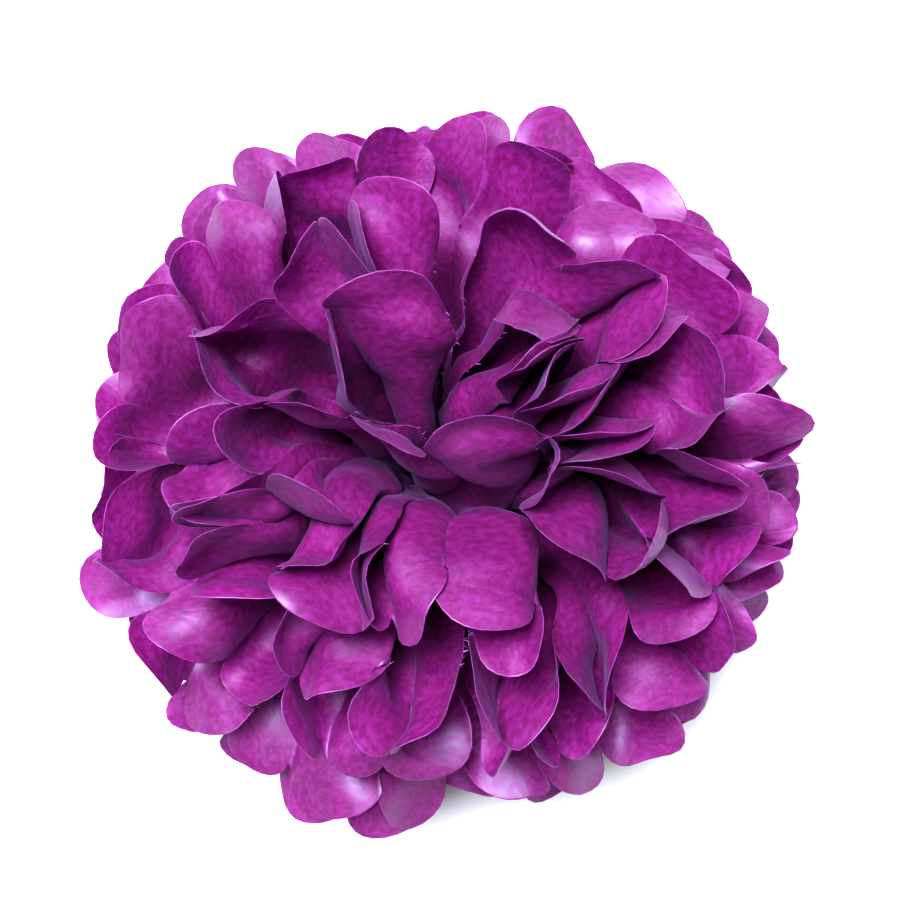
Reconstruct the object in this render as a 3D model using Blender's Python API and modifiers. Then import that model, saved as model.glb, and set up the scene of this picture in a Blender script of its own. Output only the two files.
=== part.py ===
"""A tissue paper pom pom, lying on a table with one pole up.

Ten sheets of tissue are stacked, folded into an accordion of equal pleats, pinched at the waist with
a wire and cut round at the pleats' ends. Each half then fans out through half a circle, and the
sheets are pulled apart one by one, half of them up and half of them down, which makes a ball.

Every sheet starts here as its flat cut shape and is then folded and fanned, so it stays one piece of
paper from end to end. The paper is drawn thicker than it is, and its fine gathers at the waist are
left out, so that neighbouring sheets stay clear of each other.

Units are metres. The pom pom's axis is +Z, the table is z = 0, and the sheets' length runs along X.
"""

import math

import bmesh
import bpy

COLLECTION_NAME = "tissue_paper_pom_pom"

# The sheets as cut
SHEET_LENGTH = 0.255
PLEAT_WIDTH = 0.031
PLEAT_COUNT = 14
LOBE_CUTS = 5  # points on each round pleat end
PAPER_THICKNESS = 0.00035

# The bound stack
SHEET_COUNT = 10
STACK_PITCH = 0.0012
STACK_RADIUS = 0.0068
WAIST_HEIGHT = 0.090
WAIST_HALF_LENGTH = 0.0025  # of the straight band under the wire

# The fans
EDGE_AZIMUTH = 90.6  # of a sheet's outer edges, degrees from the sheet's length
SHEET_RISE = (-60.0, -37.5, -26.0, -15.0, -5.0, 6.0, 20.0, 35.0, 51.0, 68.0)  # degrees, lowest first

# The lowest sheet, which the table splays out. Its middle pleat is opened flat, and its petals lie
# on the table.
SPREAD_RISE = -62.0
VALLEY_RISE = -72.0
RIDGE_RISE = -48.0
VALLEY_BEND = 0.010  # radius at which a fold turns out along the table
VALLEY_FOOT = 0.0012  # height at which the valley folds run out
RIDGE_BEND = 0.025
RIDGE_FOOT = 0.008  # lowest point of the ridge folds
BEND_ROWS = (0.082, 0.088, 0.094, 0.100)  # extra rows of points where the folds turn

# The binding wire
WIRE_RADIUS = 0.0004
WIRE_GAP = 0.0003
LOOP_POINTS = 20
TWIST_TURNS = 4
TWIST_POINTS = 8  # points in each turn
TWIST_PITCH = 0.0045
TWIST_GAP = 0.0001  # between the two strands

TISSUE_COLOUR = (0.33, 0.012, 0.27, 1.0)
WIRE_COLOUR = (0.05, 0.16, 0.06, 1.0)


def clear_scene():
    for leftover in list(bpy.data.objects):
        bpy.data.objects.remove(leftover, do_unlink=True)


def new_collection(name):
    collection = bpy.data.collections.new(name)
    bpy.context.scene.collection.children.link(collection)
    return collection


def new_material(name, colour, roughness, metallic=0.0):
    material = bpy.data.materials.new(name)
    material.use_nodes = True
    shader = material.node_tree.nodes["Principled BSDF"]
    shader.inputs["Base Color"].default_value = colour
    shader.inputs["Roughness"].default_value = roughness
    shader.inputs["Metallic"].default_value = metallic
    material.diffuse_color = colour
    return material


def stack_height(sheet):
    """The height of a sheet's waist above or below the middle of the stack."""
    return (sheet - (SHEET_COUNT - 1) / 2) * STACK_PITCH


def root_radius(sheet):
    """The radius of the round end of a sheet's waist band, from which its fan spreads."""
    return math.sqrt(STACK_RADIUS**2 - stack_height(sheet) ** 2)


def petal_reach(sheet):
    """The length of a fan, from its root to the end of its petals."""
    return SHEET_LENGTH / 2 - WAIST_HALF_LENGTH - root_radius(sheet)


def notch_reach(sheet):
    """The distance from a fan's root at which its petals part."""
    return petal_reach(sheet) - PLEAT_WIDTH / 2


def is_ridge(fold):
    return fold % 2 == 1


def zigzag_rise(sheet):
    """How far, in degrees, a fold stands above or below its sheet's middle for the pleats to keep
    their width at the petals' notches."""
    step = math.radians(2 * EDGE_AZIMUTH / PLEAT_COUNT)
    run = notch_reach(sheet) * math.cos(math.radians(SHEET_RISE[sheet]))
    spacing = (root_radius(sheet) + run) * step
    height = math.sqrt(PLEAT_WIDTH**2 - spacing**2)
    return math.degrees(height / 2 / notch_reach(sheet))


def run_and_climb(distance, start_height, rise, bend, foot):
    """How far out and how far up a falling fold has gone after a distance along it. It curves round
    at the bend radius to run level at the foot's height."""
    steep = math.radians(-rise)
    drop = start_height - foot - bend * (1 - math.cos(steep))
    straight = min(distance, drop / math.sin(steep))
    turned = min((distance - straight) / bend, steep)
    level = distance - straight - bend * turned
    run = straight * math.cos(steep) + bend * (math.sin(steep) - math.sin(steep - turned)) + level
    climb = -straight * math.sin(steep) - bend * (math.cos(steep - turned) - math.cos(steep))
    return run, climb


def spread_azimuth():
    """The azimuth from fold to fold at which the lowest sheet's middle pleat lies flat and is as wide
    as the paper."""
    height = WAIST_HEIGHT + stack_height(0)
    run, _ = run_and_climb(notch_reach(0), height, SPREAD_RISE, VALLEY_BEND, PAPER_THICKNESS / 2)
    return math.degrees(2 * math.asin(PLEAT_WIDTH / 2 / (root_radius(0) + run)))


def lowest_fold(fold):
    """A fold of the lowest sheet: its azimuth and rise in degrees, its bend radius and its foot."""
    middle = PLEAT_COUNT // 2
    from_middle = abs(fold - middle)
    spread = spread_azimuth()
    if from_middle <= 1:
        return spread * (fold - middle), SPREAD_RISE, VALLEY_BEND, PAPER_THICKNESS / 2
    azimuth = spread + (EDGE_AZIMUTH - spread) * (from_middle - 1) / (middle - 1)
    azimuth = math.copysign(azimuth, fold - middle)
    if is_ridge(fold):
        return azimuth, RIDGE_RISE, RIDGE_BEND, RIDGE_FOOT
    return azimuth, VALLEY_RISE, VALLEY_BEND, VALLEY_FOOT


def fold_point(sheet, fold, distance):
    """A point on one fold of a sheet's right-hand half, at a distance from the fan's root."""
    height = WAIST_HEIGHT + stack_height(sheet)
    if sheet == 0:
        azimuth, rise, bend, foot = lowest_fold(fold)
        run, climb = run_and_climb(distance, height, rise, bend, foot)
    else:
        azimuth = EDGE_AZIMUTH * (2 * fold / PLEAT_COUNT - 1)
        sway = zigzag_rise(sheet) if is_ridge(fold) else -zigzag_rise(sheet)
        slope = math.radians(SHEET_RISE[sheet] + sway)
        run, climb = distance * math.cos(slope), distance * math.sin(slope)
    outward = root_radius(sheet) + run
    turn = math.radians(azimuth)
    return (
        WAIST_HALF_LENGTH + outward * math.cos(turn),
        outward * math.sin(turn),
        height + climb,
    )


def folded(sheet, across, along):
    """Where a point of the flat sheet lies once it is folded and fanned. across runs over the pleats
    from one edge, and along runs from the fans' roots, with the left-hand fan's below zero."""
    pleat = min(int(across / PLEAT_WIDTH + 1e-6), PLEAT_COUNT - 1)
    share = across / PLEAT_WIDTH - pleat
    distance = max(abs(along) - WAIST_HALF_LENGTH, 0.0)
    near = fold_point(sheet, pleat, distance)
    far = fold_point(sheet, pleat + 1, distance)
    x, y, z = (a + (b - a) * share for a, b in zip(near, far))
    return math.copysign(x, along), y, z


def sheet_rows(sheet):
    """The places along a sheet of its rows of points, from one end to the other."""
    notch = notch_reach(sheet)
    rows = [0.0, notch / 2, notch, petal_reach(sheet)]
    if sheet == 0:
        rows = sorted(rows + list(BEND_ROWS))
    right = [WAIST_HALF_LENGTH + row for row in rows]
    return [-row for row in reversed(right)] + right


def flat_sheet(sheet):
    """The sheet as cut: a grid of pleats whose two ends are rounded, pleat by pleat."""
    rows = sheet_rows(sheet)
    end, notch_end = rows[-1], rows[-2]
    cut = bmesh.new()
    bmesh.ops.create_grid(cut, x_segments=PLEAT_COUNT, y_segments=len(rows) - 1, size=1.0)
    for vert in cut.verts:
        fold = round((vert.co.x + 1) / 2 * PLEAT_COUNT)
        row = round((vert.co.y + 1) / 2 * (len(rows) - 1))
        vert.co = (fold * PLEAT_WIDTH, rows[row], 0.0)

    def at_end(vert):
        return abs(abs(vert.co.y) - end) < 1e-6

    end_edges = [edge for edge in cut.edges if all(at_end(vert) for vert in edge.verts)]
    bmesh.ops.bisect_edges(cut, edges=end_edges, cuts=LOBE_CUTS)
    radius = PLEAT_WIDTH / 2
    for vert in filter(at_end, cut.verts):
        pleat = min(int(vert.co.x / PLEAT_WIDTH + 1e-6), PLEAT_COUNT - 1)
        turn = math.pi * (vert.co.x / PLEAT_WIDTH - pleat)
        vert.co.x = pleat * PLEAT_WIDTH + radius * (1 - math.cos(turn))
        vert.co.y = math.copysign(notch_end + radius * math.sin(turn), vert.co.y)
    bmesh.ops.remove_doubles(cut, verts=cut.verts, dist=1e-6)
    return cut


def make_sheet(sheet, collection, material):
    name = f"tissue_sheet_{sheet + 1:02d}"
    paper = flat_sheet(sheet)
    for vert in paper.verts:
        vert.co = folded(sheet, vert.co.x, vert.co.y)
    bmesh.ops.recalc_face_normals(paper, faces=paper.faces)
    mesh = bpy.data.meshes.new(name)
    paper.to_mesh(mesh)
    paper.free()
    mesh.materials.append(material)
    sheet_object = bpy.data.objects.new(name, mesh)
    collection.objects.link(sheet_object)

    wall = sheet_object.modifiers.new("paper thickness", "SOLIDIFY")
    wall.thickness = PAPER_THICKNESS
    wall.offset = 0.0
    wall.use_even_offset = True
    return sheet_object


def wire_route():
    """The wire's centre line: in along one strand of the twist, round the stack and out again."""
    loop_radius = STACK_RADIUS + PAPER_THICKNESS / 2 + WIRE_GAP + WIRE_RADIUS
    strand_radius = WIRE_RADIUS + TWIST_GAP / 2
    twist_start = loop_radius + 2 * WIRE_RADIUS
    steps = TWIST_TURNS * TWIST_POINTS

    def strand(step, phase):
        turn = 2 * math.pi * step / TWIST_POINTS + phase
        return (
            strand_radius * math.sin(turn),
            -twist_start - TWIST_PITCH * step / TWIST_POINTS,
            WAIST_HEIGHT + strand_radius * math.cos(turn),
        )

    def loop(step):
        mouth = 2 * strand_radius / loop_radius
        angle = (math.pi - mouth) * (1 - 2 * step / LOOP_POINTS)
        return (
            0.0,
            loop_radius * math.cos(angle),
            WAIST_HEIGHT + loop_radius * math.sin(angle),
        )

    route = [strand(step, 0.0) for step in range(steps, -1, -1)]
    route += [loop(step) for step in range(LOOP_POINTS + 1)]
    route += [strand(step, math.pi) for step in range(steps + 1)]
    return route


def make_wire(collection, material):
    curve = bpy.data.curves.new("binding_wire", "CURVE")
    curve.dimensions = "3D"
    curve.bevel_depth = WIRE_RADIUS
    curve.bevel_resolution = 2
    curve.use_fill_caps = True
    route = wire_route()
    spline = curve.splines.new("POLY")
    spline.points.add(len(route) - 1)
    for point, place in zip(spline.points, route):
        point.co = (*place, 1.0)
    curve.materials.append(material)
    wire = bpy.data.objects.new("binding_wire", curve)
    collection.objects.link(wire)
    return wire


def main():
    clear_scene()
    collection = new_collection(COLLECTION_NAME)
    for sheet in range(SHEET_COUNT):
        tissue = new_material(f"dyed tissue {sheet + 1}", TISSUE_COLOUR, 0.75)
        make_sheet(sheet, collection, tissue)
    lacquered = new_material("green lacquered wire", WIRE_COLOUR, 0.4, 0.6)
    make_wire(collection, lacquered)


main()
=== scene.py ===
"""The looks of a tissue paper pom pom: ten pleated and fluffed sheets, the wire that binds them and a
plain studio stage. Lengths are in millimetres up to the point where a mesh is made."""

import math

import bpy
import numpy as np
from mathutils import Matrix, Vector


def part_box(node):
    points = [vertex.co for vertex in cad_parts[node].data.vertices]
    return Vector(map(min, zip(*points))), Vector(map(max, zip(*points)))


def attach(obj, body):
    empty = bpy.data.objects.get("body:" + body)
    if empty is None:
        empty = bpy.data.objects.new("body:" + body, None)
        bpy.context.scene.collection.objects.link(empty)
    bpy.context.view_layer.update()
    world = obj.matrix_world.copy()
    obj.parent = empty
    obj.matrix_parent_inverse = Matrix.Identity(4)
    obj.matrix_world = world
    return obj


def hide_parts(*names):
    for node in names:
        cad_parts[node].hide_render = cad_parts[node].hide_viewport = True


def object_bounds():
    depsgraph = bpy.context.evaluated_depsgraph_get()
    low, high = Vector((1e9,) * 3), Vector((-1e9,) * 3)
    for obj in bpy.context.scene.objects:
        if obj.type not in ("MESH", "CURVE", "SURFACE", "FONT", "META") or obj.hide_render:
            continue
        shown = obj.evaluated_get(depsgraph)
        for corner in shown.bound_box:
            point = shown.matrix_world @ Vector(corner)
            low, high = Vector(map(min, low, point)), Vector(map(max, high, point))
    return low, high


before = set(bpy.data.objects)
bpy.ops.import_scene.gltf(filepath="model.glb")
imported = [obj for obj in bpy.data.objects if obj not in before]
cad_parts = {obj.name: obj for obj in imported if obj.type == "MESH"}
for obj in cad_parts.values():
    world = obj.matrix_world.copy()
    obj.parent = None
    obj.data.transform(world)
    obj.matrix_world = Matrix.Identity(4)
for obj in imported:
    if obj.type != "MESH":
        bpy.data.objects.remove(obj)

bl_info = {
    "name": "Tissue Paper Pom Pom",
    "version": (1, 0, 0),
    "blender": (4, 5, 0),
    "location": "3D View > Sidebar > Pom Pom",
    "description": "Fluffs pleated tissue sheets into a pom pom and sets a plain stage for it",
    "category": "Object",
}

CAD_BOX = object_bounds()
SHEET_NODES = sorted(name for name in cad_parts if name.startswith("tissue_sheet"))
WIRE_NODE = "binding_wire"
WIRE_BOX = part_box(WIRE_NODE)
WIRE_PIECE = bpy.data.objects[WIRE_NODE]
MM = 0.001
WAIST_HEIGHT = (WIRE_BOX[0][2] + WIRE_BOX[1][2]) / 2 / MM
HALVES = (1, -1)

PLEATS = 14
SHEET_LENGTH = 255.0
BAND_HALF = 2.5  # of the straight waist band under the wire
STACK_PITCH = 1.2
STACK_RADIUS = 6.8
EDGE_AZIMUTH = 90.6
PLEAT_COLUMNS = 14
ROWS = 34
FOLD_SAMPLES = 96
FLOOR_BEND = 14.0  # height over which the lowest petals give way to the table

WEB_SIZE = 2.4  # clouds of fibre in tissue paper are 2 to 3 mm across
CLOUD_SIZE = 16.0
FIBRE_SIZE = 0.45  # a fibre is 0.03 mm wide, too fine to show, so the grain is drawn coarser
CREASE_SIZE = 34.0
CRINKLE_SIZE = 10.0
SHEET_SHIFT = 600.0  # moves each sheet to its own part of the paper web
LACQUER_SIZE = 4.0  # a dip coat runs and pools over a few millimetres
BARE_SIZE = 1.6  # worn spots are about two wires wide
TOOTH_SIZE = 1.5

# Degrees that each sheet's middle rises, lowest sheet first, and how unevenly its pleats open
SHEET_RISE = (-54.0, -37.5, -26.0, -15.0, -5.0, 6.0, 20.0, 35.0, 51.0, 68.0)
UNEVENNESS = (0.60, 0.35, 0.18, 0.10, 0.08, 0.08, 0.16, 0.35, 0.50, 0.60)
CURLINESS = (0.5, 0.5, 0.5, 0.45, 0.4, 0.45, 0.6, 0.8, 1.0, 1.0)

# Where the folds of the two top sheets end, seen from above, in millimetres from the pole. The first
# list of a sheet is its right-hand half and the second its left-hand half, each from the front round
# to the back.
CROWN_FOLDS = {
    8: (
        (
            (6, -52), (16, -76), (34, -56), (52, -72), (54, -46), (78, -34), (57, -18), (84, -8),
            (60, 2), (84, 14), (68, 38), (46, 27), (62, 50), (36, 56), (12, 66),
        ),
        (
            (4, -58), (-10, -80), (-20, -56), (-47, -63), (-42, -38), (-68, -36), (-54, -14), (-76, 2),
            (-54, 20), (-72, 40), (-46, 50), (-38, 74), (-26, 50), (-30, 76), (-6, 66),
        ),
    ),
    9: (
        (
            (-27, 13), (1, 3), (29, 12), (29, -14), (50, -30), (61, -8), (34, -3), (58, 10),
            (30, 6), (50, 26), (24, 14), (40, 34), (16, 24), (38, 40), (12, 47),
        ),
        (
            (8, -48), (29, -38), (4, -22), (-14, -38), (-10, -16), (-20, -40), (-44, -29), (-20, -14),
            (-47, -7), (-71, -19), (-50, -1), (-52, 24), (-27, 14), (-35, 42), (-5, 44),
        ),
    ),
}
# How each of their pleats curls at its end: above 0 towards the pole, below 0 away from it
CROWN_CURLS = {
    8: (
        (0.3, -0.4, 0.5, 0.4, -0.5, 0.3, 0.3, -0.4, 0.3, 0.7, 0.2, -0.3, 0.4, 0.3),
        (0.3, -0.4, -0.3, 0.4, -0.5, 0.3, -0.6, -0.9, 0.3, 0.5, 0.4, -0.3, 0.5, -0.4),
    ),
    9: (
        (0.15, 0.55, 0.2, -0.3, 0.6, -0.3, 0.2, -0.3, 0.2, -0.2, 0.4, -0.3, 0.3, 0.7),
        (0.2, -0.7, -0.9, 0.2, -0.3, -0.5, 0.4, 0.5, 0.5, 0.2, -0.2, 0.2, 0.4, -0.5),
    ),
}
# Which way each of their pleats bulges: 1 towards the pole and the sky, -1 away from it
CROWN_SIDES = {
    8: (
        (1, -1, 1, 1, -1, 1, 1, -1, 1, -1, 1, -1, 1, -1),
        (1, -1, 1, 1, -1, 1, 1, 1, -1, -1, 1, 1, -1, 1),
    ),
    9: (
        (-1, -1, 1, 1, -1, -1, 1, -1, 1, -1, 1, -1, 1, -1),
        (1, 1, 1, -1, 1, 1, -1, -1, -1, 1, -1, 1, -1, 1),
    ),
}
# How nearly flat each sheet's strips stay between their folds
FLATNESS = (0.95, 0.95, 0.95, 0.96, 0.96, 0.96, 0.95, 0.94, 0.93, 0.93)

# Within these distances from the root the pleats are crushed into gathers, and past them they arch
GATHERED = (1.0, 34.0)
FULL_ARCH = 2.4

# Degrees that a fold bends down by towards its end, and that its rise and lean differ by
DROOP = 7.0
CROWN_DROOP = 8.6
LIFT = 3.0
LEAN = 5.0
CURL_RADIUS = 30.0
CURL_BEFORE_NOTCH = 12.0
# How many waves push the sheets about, their shortest and longest length and their share of the push
SWIRL_WAVES = ((14, 60.0, 130.0, 1.0), (16, 22.0, 42.0, 0.32))
SWIRL_STEPS = 6
SWIRL_REACH = (12.0, 100.0)

CAMERA_OFFSET = (0.0029, 0.0049)  # from the pole, in metres, as the lights' places are
SOFTBOX_PLACE = (-0.20, 0.36, 1.42)
SOFTBOX_SIZE = 0.55
FILL_PLACE = (0.7, -0.9, 0.9)
FILL_SIZE = 1.0
WALL_TOP = 0.5  # sine of the angle above level at which the walls have faded into the ceiling


def smooth(low, high, value):
    """0 below low, 1 above high and an S-curve between."""
    share = np.clip((value - low) / (high - low), 0.0, 1.0)
    return share * share * (3 - 2 * share)


def unit(vectors):
    return vectors / np.maximum(np.linalg.norm(vectors, axis=-1, keepdims=True), 1e-9)


def stack_height(sheet):
    return (sheet - (len(SHEET_NODES) - 1) / 2) * STACK_PITCH


def root_radius(sheet):
    return math.sqrt(STACK_RADIUS**2 - stack_height(sheet) ** 2)


class PleatPlan:
    """How each pleat of every sheet opens, leans and curls. Neighbouring sheets share most of a plan,
    so that they nest."""

    def __init__(self, settings):
        rng = np.random.default_rng(settings.seed)
        shape = (len(SHEET_NODES), 2, PLEATS)
        folds = (len(SHEET_NODES), 2, PLEATS + 1)
        wide_and_narrow = np.where(np.arange(PLEATS) % 2 == 0, 1.0, -1.0)
        self.opening = 0.8 * wide_and_narrow + self.mixed(rng, shape, 0.5, 0.45)
        self.fullness = self.mixed(rng, shape, 0.6, 0.8)
        self.side = np.sign(self.mixed(rng, shape, 1.0, 0.35) + 0.5 * self.opening)
        self.skew = self.mixed(rng, shape, 0.8, 0.5)
        self.curl = self.mixed(rng, shape, 0.3, 1.0)
        self.droop = self.evened(self.mixed(rng, folds, 0.5, 0.7))
        self.lean = self.evened(self.mixed(rng, folds, 0.6, 0.6))
        self.lift = self.evened(self.mixed(rng, folds, 0.4, 0.6))
        for sheet, sides in CROWN_SIDES.items():
            self.side[sheet] = sides
            self.curl[sheet] = CROWN_CURLS[sheet]

    @staticmethod
    def mixed(rng, shape, common, own):
        """Random numbers of which a part is common to all the sheets."""
        return common * rng.normal(size=(1, *shape[1:])) + own * rng.normal(size=shape)

    @staticmethod
    def evened(values):
        """The values averaged with their neighbours, so that one fold follows the next."""
        near = np.pad(values, ((0, 0), (0, 0), (2, 2)), mode="edge")
        count = values.shape[-1]
        return sum(near[..., k : k + count] * w for k, w in enumerate((0.2, 0.4, 0.5, 0.4, 0.2)))


def climbing(rise, droop, distance, reach):
    """Slope of a fold line at each distance: level at the waist, then its rise, then a little droop."""
    slope = rise[:, None] * smooth(-4.0, 9.0, distance)[None]
    return slope - droop[:, None] * (distance / reach)[None] ** 2


def crown_rise(sheet, half, root, droop, distance, reach, notch):
    """The rise and turn that bring each fold of a top sheet to its place in CROWN_FOLDS."""
    place = np.array(CROWN_FOLDS[sheet][half], dtype=float)
    ahead = place[:, 0] * HALVES[half] - BAND_HALF
    wanted = np.hypot(ahead, place[:, 1])
    turn = np.arctan2(place[:, 1], ahead)
    start = np.linspace(-1.0, 1.0, PLEATS + 1) * math.radians(EDGE_AZIMUTH)
    over = np.abs(turn - start) > math.pi / 2
    turn = np.where(over, turn - np.sign(turn) * math.pi, turn)
    wanted = np.where(over, -wanted, wanted)
    step = distance[1] - distance[0]
    low, high = np.full(PLEATS + 1, -0.5), np.full(PLEATS + 1, 2.6)
    for _ in range(24):
        middle = (low + high) / 2
        outward = np.cumsum(np.cos(climbing(middle, droop, distance, reach)), axis=1) * step + root
        ends = outward[:, int(notch / reach * (FOLD_SAMPLES - 1))]
        low, high = np.where(ends > wanted, middle, low), np.where(ends > wanted, high, middle)
    return (low + high) / 2, start, turn


def shared_depth(depth):
    """How far each fold stands off the middle of its sheet, so that two neighbours together make the
    depth of the pleat between them."""
    pairs = np.eye(PLEATS, PLEATS + 1) + np.eye(PLEATS, PLEATS + 1, 1)
    calm = 0.25 * np.eye(PLEATS + 1)
    wanted = np.concatenate([depth, np.full(PLEATS + 1, 0.25 * depth.mean() / 2)])
    return np.linalg.lstsq(np.vstack([pairs, calm]), wanted, rcond=None)[0]


def fold_lines(sheet, half, plan, settings):
    """The 15 fold lines of one half of a sheet, each as points at even distances from the root."""
    root = root_radius(sheet)
    reach = SHEET_LENGTH / 2 - BAND_HALF - root
    notch = reach - settings.pleat_width / 2
    rise = math.radians(SHEET_RISE[sheet])
    distance = np.linspace(0.0, reach, FOLD_SAMPLES)
    along = distance / reach
    droop = np.radians(DROOP * (1 + plan.droop[sheet, half]))

    if sheet in CROWN_FOLDS:
        droop = np.full(PLEATS + 1, math.radians(CROWN_DROOP))
        rises, start, end = crown_rise(sheet, half, root, droop, distance, reach, notch)
        turn = start[:, None] + (end - start)[:, None] * smooth(-20.0, notch, distance)[None]
    else:
        spacing = np.clip(1 + UNEVENNESS[sheet] * plan.opening[sheet, half], -0.35, 2.6)
        spacing *= 2 * math.radians(EDGE_AZIMUTH) / spacing.sum()
        chord = settings.pleat_width * FLATNESS[sheet]
        around = root + notch * math.cos(rise)
        for _ in range(6):
            spacing = np.clip(spacing, -0.5 * chord / around, 0.96 * chord / around)
            spacing += (2 * math.radians(EDGE_AZIMUTH) - spacing.sum()) / PLEATS
        depth = np.sqrt(np.maximum(chord**2 - (around * spacing) ** 2, 9.0))
        sway = shared_depth(depth) * np.where(np.arange(PLEATS + 1) % 2 == 1, 1.0, -1.0) / notch
        rises = rise + sway + math.radians(LIFT) * plan.lift[sheet, half]
        azimuth = np.concatenate([[0.0], np.cumsum(spacing)]) - math.radians(EDGE_AZIMUTH)
        lean = math.radians(LEAN) * plan.lean[sheet, half]
        turn = azimuth[:, None] + lean[:, None] * along[None] ** 1.5

    slope = climbing(rises, droop, distance, reach)
    step = distance[1] - distance[0]
    outward = np.cumsum(np.cos(slope), axis=1) * step + root
    climb = np.cumsum(np.sin(slope), axis=1) * step + WAIST_HEIGHT + stack_height(sheet)
    points = np.stack([BAND_HALF + outward * np.cos(turn), outward * np.sin(turn), climb], axis=-1)
    points[..., 0] *= HALVES[half]
    return distance, points


def at_distance(distance, line, wanted):
    return np.stack([np.interp(wanted, distance, line[:, axis]) for axis in range(3)], axis=-1)


def arch_angle(ratio):
    """Half the angle of a circular arch whose chord is this share of its length."""
    angle = np.sqrt(6 * np.maximum(1 - ratio, 1e-6))
    for _ in range(4):
        value = np.sin(angle) / angle - ratio
        gradient = (angle * np.cos(angle) - np.sin(angle)) / angle**2
        angle = np.clip(angle - value / gradient, 1e-3, 2.4)
    return angle


def pleat_surface(sheet, half, pleat, distance, folds, plan, settings):
    """One pleat as a grid of points, columns across by rows along, and its flat coordinates."""
    width = settings.pleat_width
    reach = distance[-1]
    notch = reach - width / 2
    turns = np.linspace(0.0, math.pi, PLEAT_COLUMNS + 1)
    across = (1 - np.cos(turns)) / 2
    length = notch + width / 2 * np.sin(turns)
    rows = np.concatenate([np.linspace(0.0, 1.0, ROWS)[:-1] ** 0.9, [0.996, 1.0]])
    along = length[:, None] * rows[None]

    near = np.stack([at_distance(distance, folds[pleat], row) for row in along])
    far = np.stack([at_distance(distance, folds[pleat + 1], row) for row in along])
    chord = far - near
    span = np.linalg.norm(chord, axis=-1)
    chord_way = unit(chord)
    middle = (near + far) / 2
    along_way = unit(np.gradient(middle, axis=1))
    normal = unit(np.cross(along_way, chord_way)) * HALVES[half]

    widest = arch_angle(np.clip(span / width, 0.25, 0.999))
    angle = np.minimum(widest, 0.02 + FULL_ARCH * smooth(*GATHERED, along))
    theta = (2 * across[:, None] - 1) * angle
    sideways = np.sin(theta) / (2 * np.sin(angle)) * span
    bulge = (np.cos(theta) - np.cos(angle)) / (2 * np.sin(angle)) * span
    wave = 0.03 * plan.skew[sheet, half, pleat] * np.sin(2 * math.pi * across)[:, None] * span
    bulge = bulge * plan.side[sheet, half, pleat] + wave * smooth(10.0, 60.0, along)
    points = middle + chord_way * sideways[..., None] + normal * bulge[..., None]

    curl = plan.curl[sheet, half, pleat] * CURLINESS[sheet]
    radius = CURL_RADIUS / max(abs(curl), 0.15)
    past = np.maximum(along - (notch - CURL_BEFORE_NOTCH), 0.0)
    bent = past / radius
    points += along_way * (radius * np.sin(bent) - past)[..., None]
    points += normal * (np.sign(curl) * radius * (1 - np.cos(bent)))[..., None]
    flat = np.stack([np.broadcast_to((pleat + across[:, None]) * width, along.shape), along], axis=-1)
    return points, flat


def swirl(points, settings):
    """Pushes the points along a smooth flow, which bends neighbouring sheets alike and never through
    each other."""
    rng = np.random.default_rng(settings.seed + 100)
    waves = []
    for count, short, long, share in SWIRL_WAVES:
        for _ in range(count):
            way = unit(rng.normal(size=3))
            wave = way * 2 * math.pi / rng.uniform(short, long)
            push = unit(np.cross(way, rng.normal(size=3))) * share
            waves.append((wave, push, rng.uniform(0, 2 * math.pi)))
    centre = np.array([0.0, 0.0, WAIST_HEIGHT])
    for _ in range(SWIRL_STEPS):
        loose = smooth(*SWIRL_REACH, np.linalg.norm(points - centre, axis=-1))[..., None]
        flow = sum(push * np.sin(points @ wave + phase)[..., None] for wave, push, phase in waves)
        points = points + flow * loose * settings.ruffle / SWIRL_STEPS
    return points


def kept_above_table(points):
    """Bends whatever would reach through the table, so that it lies down on it."""
    low = points[..., 2] < FLOOR_BEND
    share = np.where(low, (points[..., 2] - FLOOR_BEND) / FLOOR_BEND, 0.0)
    points = points.copy()
    points[..., 2] = np.where(low, FLOOR_BEND * np.exp(share), points[..., 2])
    return points


def sheet_grid(sheet, plan, settings):
    """A whole sheet as a grid of points from its left-hand end to its right-hand end, with the flat
    coordinates of each and how near it is to a fold, to the cut edge and to a notch."""
    halves = []
    for half in (0, 1):
        distance, folds = fold_lines(sheet, half, plan, settings)
        columns, flats = [], []
        for pleat in range(PLEATS):
            points, flat = pleat_surface(sheet, half, pleat, distance, folds, plan, settings)
            last = PLEAT_COLUMNS + 1 if pleat == PLEATS - 1 else PLEAT_COLUMNS
            columns.append(points[:last])
            flats.append(flat[:last])
        halves.append((np.concatenate(columns), np.concatenate(flats)))
    (right, right_flat), (left, left_flat) = halves
    left, left_flat = left[:, ::-1], left_flat[:, ::-1] * [1, -1]
    points = np.concatenate([left, right], axis=1)
    flat = np.concatenate([left_flat, right_flat], axis=1)

    columns, rows = points.shape[:2]
    fold = np.zeros((columns, rows))
    fold[::PLEAT_COLUMNS] = 1.0
    edge = np.zeros((columns, rows))
    edge[:, [0, -1]] = 1.0
    edge[[0, -1], :] = 1.0
    marks = {"fold": fold, "edge": edge, "notch": fold * edge}
    return points, flat + [sheet * SHEET_SHIFT, 0], marks


def grid_mesh(name, points, flat, marks):
    columns, rows = points.shape[:2]
    index = np.arange(columns * rows).reshape(columns, rows)
    corners = [index[:-1, :-1], index[1:, :-1], index[1:, 1:], index[:-1, 1:]]
    quads = np.stack(corners, axis=-1).reshape(-1, 4)
    mesh = bpy.data.meshes.new(name)
    mesh.from_pydata((points.reshape(-1, 3) * MM).tolist(), [], quads.tolist())
    layer = mesh.uv_layers.new(name="sheet")
    place = flat.reshape(-1, 2)[quads.reshape(-1)] * MM
    layer.data.foreach_set("uv", place.astype(np.float32).ravel())
    for key, values in marks.items():
        mark = mesh.attributes.new(key, "FLOAT", "POINT")
        mark.data.foreach_set("value", values.astype(np.float32).ravel())
    mesh.shade_smooth()
    mesh.update()
    return mesh


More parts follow.
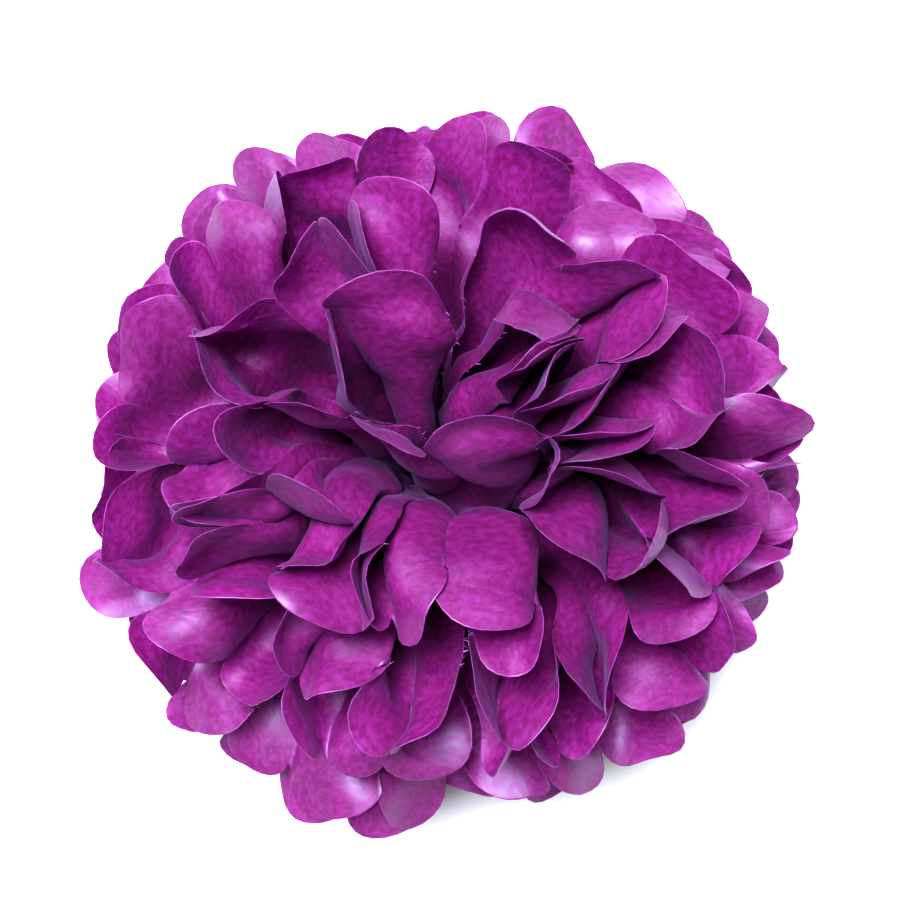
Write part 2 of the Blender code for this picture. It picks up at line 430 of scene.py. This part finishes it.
def hex_colour(text):
    """An sRGB hex colour as the linear colour that Blender's nodes take."""
    channels = [int(text[i : i + 2], 16) / 255 for i in (1, 3, 5)]
    linear = [c / 12.92 if c <= 0.04045 else ((c + 0.055) / 1.055) ** 2.4 for c in channels]
    return (*linear, 1.0)


def add_node(tree, kind, settings=None, links=None):
    """Adds a node, sets its properties and input values, and links its inputs."""
    node = tree.nodes.new(kind)
    for key, value in (settings or {}).items():
        if isinstance(key, int) or key in node.inputs:
            node.inputs[key].default_value = value
        else:
            setattr(node, key, value)
    for key, source in (links or {}).items():
        tree.links.new(source, node.inputs[key])
    return node


def new_material(name):
    material = bpy.data.materials.new(name)
    material.use_nodes = True
    material.node_tree.nodes.clear()
    return material, material.node_tree


def noise(tree, place, size, detail=2.0, roughness=0.5, distortion=0.0):
    """A noise whose clouds are about size millimetres across."""
    settings = {"Scale": 1 / (size * MM), "Detail": detail, "Roughness": roughness, "Distortion": distortion}
    return add_node(tree, "ShaderNodeTexNoise", settings, {"Vector": place}).outputs[0]


def ranged(tree, value, low, high, to_low, to_high):
    return add_node(
        tree, "ShaderNodeMapRange", {1: low, 2: high, 3: to_low, 4: to_high}, {0: value}
    ).outputs[0]


def math_node(tree, operation, first, second):
    links = {k: v for k, v in enumerate((first, second)) if not isinstance(v, float)}
    settings = {k: v for k, v in enumerate((first, second)) if isinstance(v, float)}
    return add_node(tree, "ShaderNodeMath", {"operation": operation, **settings}, links).outputs[0]


def colour_mix(tree, share, first, second):
    links = {0: share}
    settings = {"data_type": "RGBA"}
    for slot, colour in ((6, first), (7, second)):
        if isinstance(colour, bpy.types.NodeSocket):
            links[slot] = colour
        else:
            settings[slot] = (*colour[:3], 1.0)
    return add_node(tree, "ShaderNodeMix", settings, links).outputs[2]


def tissue_material(settings):
    """Dyed machine-glazed tissue paper: long soft fibres in a thin cloudy web, dyed in the pulp. One
    side was dried against a polished cylinder, so it takes a soft cool highlight. Light comes through
    it, most where the web is thin, and its folds are paler than its face. A painted highlight runs in a
    broken pale line along its torn-looking cut edges."""
    material, tree = new_material("dyed machine-glazed tissue")
    place = add_node(tree, "ShaderNodeUVMap", {"uv_map": "sheet"}).outputs[0]
    fold = add_node(tree, "ShaderNodeAttribute", {"attribute_name": "fold"}).outputs["Fac"]
    edge = add_node(tree, "ShaderNodeAttribute", {"attribute_name": "edge"}).outputs["Fac"]

    web = ranged(tree, noise(tree, place, WEB_SIZE, 3.0, 0.6), 0.38, 0.66, 0.0, 1.0)
    cloud = ranged(tree, noise(tree, place, CLOUD_SIZE), 0.3, 0.7, 0.84, 1.14)
    grain = noise(tree, place, FIBRE_SIZE, 2.0, 0.7)
    fleck = ranged(tree, grain, 0.3, 0.7, 0.88, 1.12)

    dyed = colour_mix(tree, web, settings.dye, settings.thin)
    shaded = add_node(
        tree,
        "ShaderNodeVectorMath",
        {"operation": "SCALE"},
        {0: dyed, "Scale": math_node(tree, "MULTIPLY", cloud, fleck)},
    ).outputs[0]
    broken = ranged(tree, noise(tree, place, 1.2, 2.0, 0.6), 0.35, 0.65, 0.25, 1.0)
    # Paler along the folds, broken up by noise
    pale_fold_and_edge_highlight = math_node(tree, "MULTIPLY", ranged(tree, fold, 0.55, 1.0, 0.0, 0.35), broken)
    paled_along_folds = colour_mix(tree, pale_fold_and_edge_highlight, shaded, settings.pale_fold_and_edge_highlight)
    # Painted highlight: a broken pale line along the cut edges, standing in for the light they catch
    painted_edge_highlight = math_node(tree, "MULTIPLY", ranged(tree, edge, 0.3, 1.0, 0.0, 0.4), broken)
    colour = colour_mix(tree, painted_edge_highlight, paled_along_folds, settings.pale_fold_and_edge_highlight)

    crease = noise(tree, place, CREASE_SIZE, 2.0, 0.5, 0.8)
    ridge = math_node(tree, "ABSOLUTE", math_node(tree, "SUBTRACT", crease, 0.5), 0.0)
    crinkle = noise(tree, place, CRINKLE_SIZE, 4.0, 0.55, 0.5)
    dents = math_node(tree, "ADD", ranged(tree, ridge, 0.0, 0.03, 0.0, 0.25), crinkle)
    creased = add_node(tree, "ShaderNodeBump", {"Strength": 0.3, "Distance": 0.0008}, {"Height": dents})
    felt = add_node(
        tree,
        "ShaderNodeBump",
        {"Strength": 0.25, "Distance": 0.0001},
        {"Height": grain, "Normal": creased.outputs[0]},
    ).outputs[0]

    shader = add_node(
        tree,
        "ShaderNodeBsdfPrincipled",
        {
            "Specular IOR Level": 1.0,
            "Specular Tint": hex_colour("#DCE2FF"),
            "Sheen Weight": 0.06,
            "Sheen Roughness": 0.4,
            "Sheen Tint": hex_colour("#C9CCFF"),
        },
        {"Base Color": colour, "Roughness": ranged(tree, web, 0.0, 1.0, 0.50, 0.60), "Normal": felt},
    )
    glow = colour_mix(tree, web, settings.glow, settings.thin_glow)
    through = add_node(tree, "ShaderNodeBsdfTranslucent", {}, {"Color": glow, "Normal": felt})
    both = add_node(tree, "ShaderNodeAddShader", {}, {0: shader.outputs[0], 1: through.outputs[0]})
    add_node(tree, "ShaderNodeOutputMaterial", {}, {"Surface": both.outputs[0]})
    return material


def wire_material(settings):
    """Soft iron florist's wire in a coat of green lacquer, dipped and baked: a smooth dark gloss that is
    scuffed thin where the strands press on each other."""
    material, tree = new_material("lacquered florist's wire")
    place = add_node(tree, "ShaderNodeTexCoord").outputs["Object"]
    bare = ranged(tree, noise(tree, place, BARE_SIZE, 3.0, 0.6), 0.55, 0.72, 0.0, 1.0)
    lacquer = colour_mix(tree, noise(tree, place, LACQUER_SIZE), settings.lacquer, settings.pooled)
    colour = colour_mix(tree, bare, lacquer, settings.iron)
    runs = add_node(
        tree, "ShaderNodeBump", {"Strength": 0.3, "Distance": 0.0001}, {"Height": noise(tree, place, 0.7)}
    )
    shader = add_node(
        tree,
        "ShaderNodeBsdfPrincipled",
        {"Coat Weight": 0.4, "Coat Roughness": 0.2},
        {
            "Base Color": colour,
            "Metallic": ranged(tree, bare, 0.0, 1.0, 0.0, 0.8),
            "Roughness": ranged(tree, bare, 0.0, 1.0, 0.32, 0.5),
            "Normal": runs.outputs[0],
        },
    )
    add_node(tree, "ShaderNodeOutputMaterial", {}, {"Surface": shader.outputs[0]})
    return material


def backdrop_material(settings):
    """Seamless background paper, calendered and uncoated: an even matt white with a faint tooth."""
    material, tree = new_material("white background paper")
    place = add_node(tree, "ShaderNodeTexCoord").outputs["Object"]
    tooth = noise(tree, place, TOOTH_SIZE, 3.0, 0.6)
    bump = add_node(
        tree, "ShaderNodeBump", {"Strength": 0.1, "Distance": 0.0001}, {"Height": tooth}
    )
    colour = colour_mix(tree, tooth, settings.floor, [0.98 * c for c in settings.floor])
    shader = add_node(
        tree,
        "ShaderNodeBsdfPrincipled",
        {"Roughness": 0.8},
        {"Base Color": colour, "Normal": bump.outputs[0]},
    )
    add_node(tree, "ShaderNodeOutputMaterial", {}, {"Surface": shader.outputs[0]})
    return material


def new_tree(name, inputs):
    """A Geometry Nodes tree with its group nodes, taking a Geometry and the named inputs. inputs maps a
    name to its socket type and default."""
    tree = bpy.data.node_groups.new(name, "GeometryNodeTree")
    tree.interface.new_socket("Geometry", in_out="OUTPUT", socket_type="NodeSocketGeometry")
    tree.interface.new_socket("Geometry", in_out="INPUT", socket_type="NodeSocketGeometry")
    for key, (kind, value) in inputs.items():
        socket = tree.interface.new_socket(key, in_out="INPUT", socket_type=kind)
        if value is not None:
            socket.default_value = value
    return tree, tree.nodes.new("NodeGroupInput"), tree.nodes.new("NodeGroupOutput")


def add_geometry_nodes(piece, tree, values):
    """Puts the tree on the piece and sets its named inputs by their identifiers."""
    modifier = piece.modifiers.new(tree.name, "NODES")
    modifier.node_group = tree
    for item in tree.interface.items_tree:
        if item.item_type == "SOCKET" and item.in_out == "INPUT" and item.name in values:
            modifier[item.identifier] = values[item.name]
    return modifier


def dressed_result(tree, geometry, given, result):
    """Ends a tree: its instances made real and its material set."""
    real = add_node(tree, "GeometryNodeRealizeInstances", {}, {0: geometry})
    links = {"Geometry": real.outputs[0], "Material": given.outputs["Material"]}
    dressed = add_node(tree, "GeometryNodeSetMaterial", {}, links)
    tree.links.new(dressed.outputs[0], result.inputs[0])


def crumple_tree():
    """Dents and soft creases pressed into a sheet, none at the waist and all of them further out."""
    tree, given, result = new_tree(
        "crumple",
        {
            "Depth": ("NodeSocketFloat", 0.0005),
            "Dent size": ("NodeSocketFloat", 0.02),
            "Crease size": ("NodeSocketFloat", 0.03),
            "Material": ("NodeSocketMaterial", None),
        },
    )
    place = add_node(
        tree, "GeometryNodeInputNamedAttribute", {"data_type": "FLOAT_VECTOR", "Name": "sheet"}
    ).outputs[0]
    parts = add_node(tree, "ShaderNodeSeparateXYZ", {}, {0: place})
    away = math_node(tree, "ABSOLUTE", parts.outputs[1], 0.0)
    loose = ranged(tree, away, 0.015, 0.06, 0.0, 1.0)
    scales = [math_node(tree, "DIVIDE", 1.0, given.outputs[key]) for key in ("Dent size", "Crease size")]
    dent = add_node(
        tree, "ShaderNodeTexNoise", {"Detail": 2.0}, {"Vector": place, "Scale": scales[0]}
    ).outputs[0]
    line = add_node(
        tree, "ShaderNodeTexNoise", {"Detail": 1.0, "Distortion": 0.6}, {"Vector": place, "Scale": scales[1]}
    ).outputs[0]
    ridge = math_node(tree, "ABSOLUTE", math_node(tree, "SUBTRACT", line, 0.5), 0.0)
    height = math_node(
        tree,
        "ADD",
        ranged(tree, dent, 0.3, 0.7, -1.0, 1.0),
        ranged(tree, ridge, 0.0, 0.12, 1.2, 0.0),
    )
    depth = math_node(tree, "MULTIPLY", math_node(tree, "MULTIPLY", height, loose), given.outputs["Depth"])
    normal = add_node(tree, "GeometryNodeInputNormal").outputs[0]
    push = add_node(tree, "ShaderNodeVectorMath", {"operation": "SCALE"}, {0: normal, "Scale": depth})
    moved = add_node(
        tree, "GeometryNodeSetPosition", {}, {"Geometry": given.outputs[0], "Offset": push.outputs[0]}
    )
    dressed_result(tree, moved.outputs[0], given, result)
    return tree


def fibre_tree(material):
    """Torn fibres that stand out of the notches between the petals, where the scissors pulled."""
    tree, given, result = new_tree(
        "torn fibres",
        {
            "Fibre length": ("NodeSocketFloat", 0.0016),
            "Fibre thickness": ("NodeSocketFloat", 0.0002),
            "Share": ("NodeSocketFloat", 0.4),
            "Seed": ("NodeSocketInt", 3),
            "Material": ("NodeSocketMaterial", None),
        },
    )
    notch = add_node(tree, "GeometryNodeInputNamedAttribute", {"data_type": "FLOAT", "Name": "notch"})
    at_notch = add_node(
        tree,
        "FunctionNodeCompare",
        {"data_type": "FLOAT", "operation": "GREATER_THAN", 1: 0.9},
        {0: notch.outputs[0]},
    )
    some = add_node(
        tree,
        "FunctionNodeRandomValue",
        {"data_type": "BOOLEAN"},
        {"Probability": given.outputs["Share"], "Seed": given.outputs["Seed"]},
    )
    chosen = add_node(
        tree, "FunctionNodeBooleanMath", {"operation": "AND"}, {0: at_notch.outputs[0], 1: some.outputs[3]}
    )
    points = add_node(
        tree,
        "GeometryNodeMeshToPoints",
        {},
        {"Mesh": given.outputs[0], "Selection": chosen.outputs[0]},
    )
    fibre = add_node(
        tree,
        "GeometryNodeMeshCone",
        {"Vertices": 3, "Radius Top": 0.00003},
        {"Radius Bottom": given.outputs["Fibre thickness"], "Depth": given.outputs["Fibre length"]},
    )
    turn = add_node(
        tree,
        "FunctionNodeRandomValue",
        {"data_type": "FLOAT_VECTOR", 0: (0.0, 0.0, 0.0), 1: (3.1, 3.1, 6.2)},
        {"Seed": given.outputs["Seed"]},
    )
    size = add_node(
        tree,
        "FunctionNodeRandomValue",
        {"data_type": "FLOAT", 2: 0.5, 3: 1.3},
        {"Seed": given.outputs["Seed"]},
    )
    placed = add_node(
        tree,
        "GeometryNodeInstanceOnPoints",
        {},
        {
            "Points": points.outputs[0],
            "Instance": fibre.outputs[0],
            "Rotation": turn.outputs[0],
            "Scale": size.outputs[1],
        },
    )
    joined = tree.nodes.new("GeometryNodeJoinGeometry")
    tree.links.new(placed.outputs[0], joined.inputs[0])
    tree.links.new(given.outputs[0], joined.inputs[0])
    dressed_result(tree, joined.outputs[0], given, result)
    return tree


def made_plain(piece):
    """Replaces the piece by a plain mesh of what its modifiers make, under the same name."""
    graph = bpy.context.evaluated_depsgraph_get()
    mesh = bpy.data.meshes.new_from_object(piece.evaluated_get(graph))
    name = piece.name
    bpy.data.objects.remove(piece)
    mesh.name = name
    plain = bpy.data.objects.new(name, mesh)
    bpy.context.scene.collection.objects.link(plain)
    return plain


def colour_setting(name, description, text):
    return bpy.props.FloatVectorProperty(
        name=name, description=description, subtype="COLOR", default=hex_colour(text)[:3], min=0.0, max=1.0
    )


def length_setting(name, description, metres):
    return bpy.props.FloatProperty(
        name=name, description=description, default=metres, min=0.0, subtype="DISTANCE", unit="LENGTH"
    )


class TissueSettings(bpy.types.PropertyGroup):
    seed: bpy.props.IntProperty(name="Seed", description="Which fluffing of the sheets to make", default=4)
    pleat_width: bpy.props.FloatProperty(
        name="Pleat width", description="Width of a pleat, in millimetres", default=31.0, min=10.0
    )
    ruffle: bpy.props.FloatProperty(
        name="Ruffle", description="How far the sheets are pushed, in millimetres", default=3.0, min=0.0
    )
    thickness: length_setting("Thickness", "Thickness that the paper is drawn with", 0.00012)
    crumple: length_setting("Crumple", "Depth of the dents in the paper", 0.0005)
    dye: colour_setting("Dye", "Colour of the paper in reflected light", "#5C0C4A")
    thin: colour_setting("Thin web", "Colour of the paper where the fibre web is thin", "#651355")
    glow: colour_setting("Glow", "Colour of the light that comes through", "#78266C")
    thin_glow: colour_setting("Thin glow", "Colour of the light through a thin web", "#984898")
    # The colour of the paler folds, and also of the painted highlight along the cut edges
    pale_fold_and_edge_highlight: colour_setting("Pale_fold_and_edge_highlight", "Colour along the folds and cut edges", "#9A58A4")


class WireSettings(bpy.types.PropertyGroup):
    lacquer: colour_setting("Lacquer", "Colour of the lacquer on the wire", "#143018")
    pooled: colour_setting("Pooled lacquer", "Colour where the lacquer is thick", "#1D4424")
    iron: colour_setting("Iron", "Colour of the iron where the lacquer is rubbed off", "#4C4F49")


class StageSettings(bpy.types.PropertyGroup):
    floor: colour_setting("Floor", "Colour of the background paper", "#F3F3F3")
    floor_size: length_setting("Floor size", "Side of the square floor", 4.0)
    camera_height: length_setting("Camera height", "Height of the camera above the waist", 0.50)
    lens: bpy.props.FloatProperty(
        name="Lens",
        description="Focal length of the camera",
        default=55.0,
        min=1.0,
        subtype="DISTANCE_CAMERA",
    )
    softbox: bpy.props.FloatProperty(
        name="Softbox", description="Power of the light above the ball", default=62.0, min=0.0, unit="POWER"
    )
    fill: bpy.props.FloatProperty(
        name="Fill", description="Power of the light from the front", default=3.0, min=0.0, unit="POWER"
    )
    walls: bpy.props.FloatProperty(
        name="Walls", description="Strength of the light from the walls", default=0.75, min=0.0
    )
    ceiling: bpy.props.FloatProperty(
        name="Ceiling", description="Strength of the light from the ceiling", default=0.03, min=0.0
    )


class POMPOM_OT_tissue_sheets(bpy.types.Operator):
    """Make the pleated and fluffed tissue sheets"""

    bl_idname = "pompom.tissue_sheets"
    bl_label = "Tissue sheets"

    def execute(self, context):
        settings = context.scene.pompom_tissue
        plan = PleatPlan(settings)
        material = tissue_material(settings)
        crumple, fibres = crumple_tree(), fibre_tree(material)
        for sheet, node in enumerate(SHEET_NODES):
            points, flat, marks = sheet_grid(sheet, plan, settings)
            points = kept_above_table(swirl(points, settings))
            mesh = grid_mesh(node.replace("sheet", "paper"), points, flat, marks)
            paper = bpy.data.objects.new(mesh.name, mesh)
            context.scene.collection.objects.link(paper)
            add_geometry_nodes(paper, crumple, {"Depth": settings.crumple, "Material": material})
            wall = paper.modifiers.new("paper thickness", "SOLIDIFY")
            wall.thickness = settings.thickness
            wall.offset = 0.0
            add_geometry_nodes(paper, fibres, {"Seed": sheet + 3, "Material": material})
            paper = made_plain(paper)
            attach(paper, "root")
            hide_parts(node)
        return {"FINISHED"}


class POMPOM_OT_binding_wire(bpy.types.Operator):
    """Lacquer the wire that binds the sheets at the waist"""

    bl_idname = "pompom.binding_wire"
    bl_label = "Binding wire"

    def execute(self, context):
        material = wire_material(context.scene.pompom_wire)
        for place in WIRE_PIECE.material_slots:
            place.material = material
        return {"FINISHED"}


def add_light(name, place, size, power, colour, target):
    light = bpy.data.lights.new(name, "AREA")
    light.shape = "SQUARE"
    light.size = size
    light.energy = power
    light.color = hex_colour(colour)[:3]
    lamp = bpy.data.objects.new(name, light)
    lamp.location = place
    lamp.rotation_euler = (target - lamp.location).to_track_quat("-Z", "Y").to_euler()
    bpy.context.scene.collection.objects.link(lamp)


def studio_world(settings):
    """White walls all around and a dark ceiling, so that the sides are lit softly and the hollows
    between the petals stay deep."""
    world = bpy.data.worlds.new("studio")
    world.use_nodes = True
    tree = world.node_tree
    background = tree.nodes["Background"]
    background.inputs["Color"].default_value = (1.0, 1.0, 1.0, 1.0)
    way = add_node(tree, "ShaderNodeTexCoord").outputs["Generated"]
    height = add_node(tree, "ShaderNodeSeparateXYZ", {}, {0: way}).outputs["Z"]
    strength = ranged(tree, height, 0.0, WALL_TOP, settings.walls, settings.ceiling)
    tree.links.new(strength, background.inputs["Strength"])
    return world


class POMPOM_OT_stage(bpy.types.Operator):
    """Set the floor, the lights and the camera"""

    bl_idname = "pompom.stage"
    bl_label = "Stage"

    def execute(self, context):
        scene = context.scene
        settings = scene.pompom_stage
        bpy.ops.mesh.primitive_plane_add(size=settings.floor_size)
        floor = context.object
        floor.name = "floor"
        floor.data.materials.append(backdrop_material(settings))

        camera = bpy.data.objects.new("camera", bpy.data.cameras.new("camera"))
        camera.data.lens = settings.lens
        camera.location = (*CAMERA_OFFSET, WAIST_HEIGHT * MM + settings.camera_height)
        scene.collection.objects.link(camera)
        scene.camera = camera

        centre = (CAD_BOX[0] + CAD_BOX[1]) / 2
        add_light("softbox", SOFTBOX_PLACE, SOFTBOX_SIZE, settings.softbox, "#EEF2FF", centre)
        add_light("fill", FILL_PLACE, FILL_SIZE, settings.fill, "#FFFFFF", centre)
        scene.world = studio_world(settings)
        scene.view_settings.view_transform = "Standard"
        scene.view_settings.look = "High Contrast"
        return {"FINISHED"}


class POMPOM_PT_panel(bpy.types.Panel):
    """The settings of the pom pom and the buttons that make its pieces"""

    bl_idname = "POMPOM_PT_panel"
    bl_label = "Tissue Paper Pom Pom"
    bl_space_type = "VIEW_3D"
    bl_region_type = "UI"
    bl_category = "Pom Pom"

    def draw(self, context):
        for group, operator in PANEL_ROWS:
            box = self.layout.box()
            settings = getattr(context.scene, group)
            for name in settings.__annotations__:
                box.prop(settings, name)
            box.operator(operator)


SETTINGS = {
    "pompom_tissue": TissueSettings,
    "pompom_wire": WireSettings,
    "pompom_stage": StageSettings,
}
PANEL_ROWS = (
    ("pompom_tissue", "pompom.tissue_sheets"),
    ("pompom_wire", "pompom.binding_wire"),
    ("pompom_stage", "pompom.stage"),
)
CLASSES = (
    *SETTINGS.values(),
    POMPOM_OT_tissue_sheets,
    POMPOM_OT_binding_wire,
    POMPOM_OT_stage,
    POMPOM_PT_panel,
)


def register():
    for cls in CLASSES:
        bpy.utils.register_class(cls)
    for name, group in SETTINGS.items():
        setattr(bpy.types.Scene, name, bpy.props.PointerProperty(type=group))


def unregister():
    for name in SETTINGS:
        delattr(bpy.types.Scene, name)
    for cls in reversed(CLASSES):
        bpy.utils.unregister_class(cls)


def main():
    register()
    bpy.ops.pompom.tissue_sheets()
    bpy.ops.pompom.binding_wire()
    bpy.ops.pompom.stage()


if __name__ == "__main__":
    main()
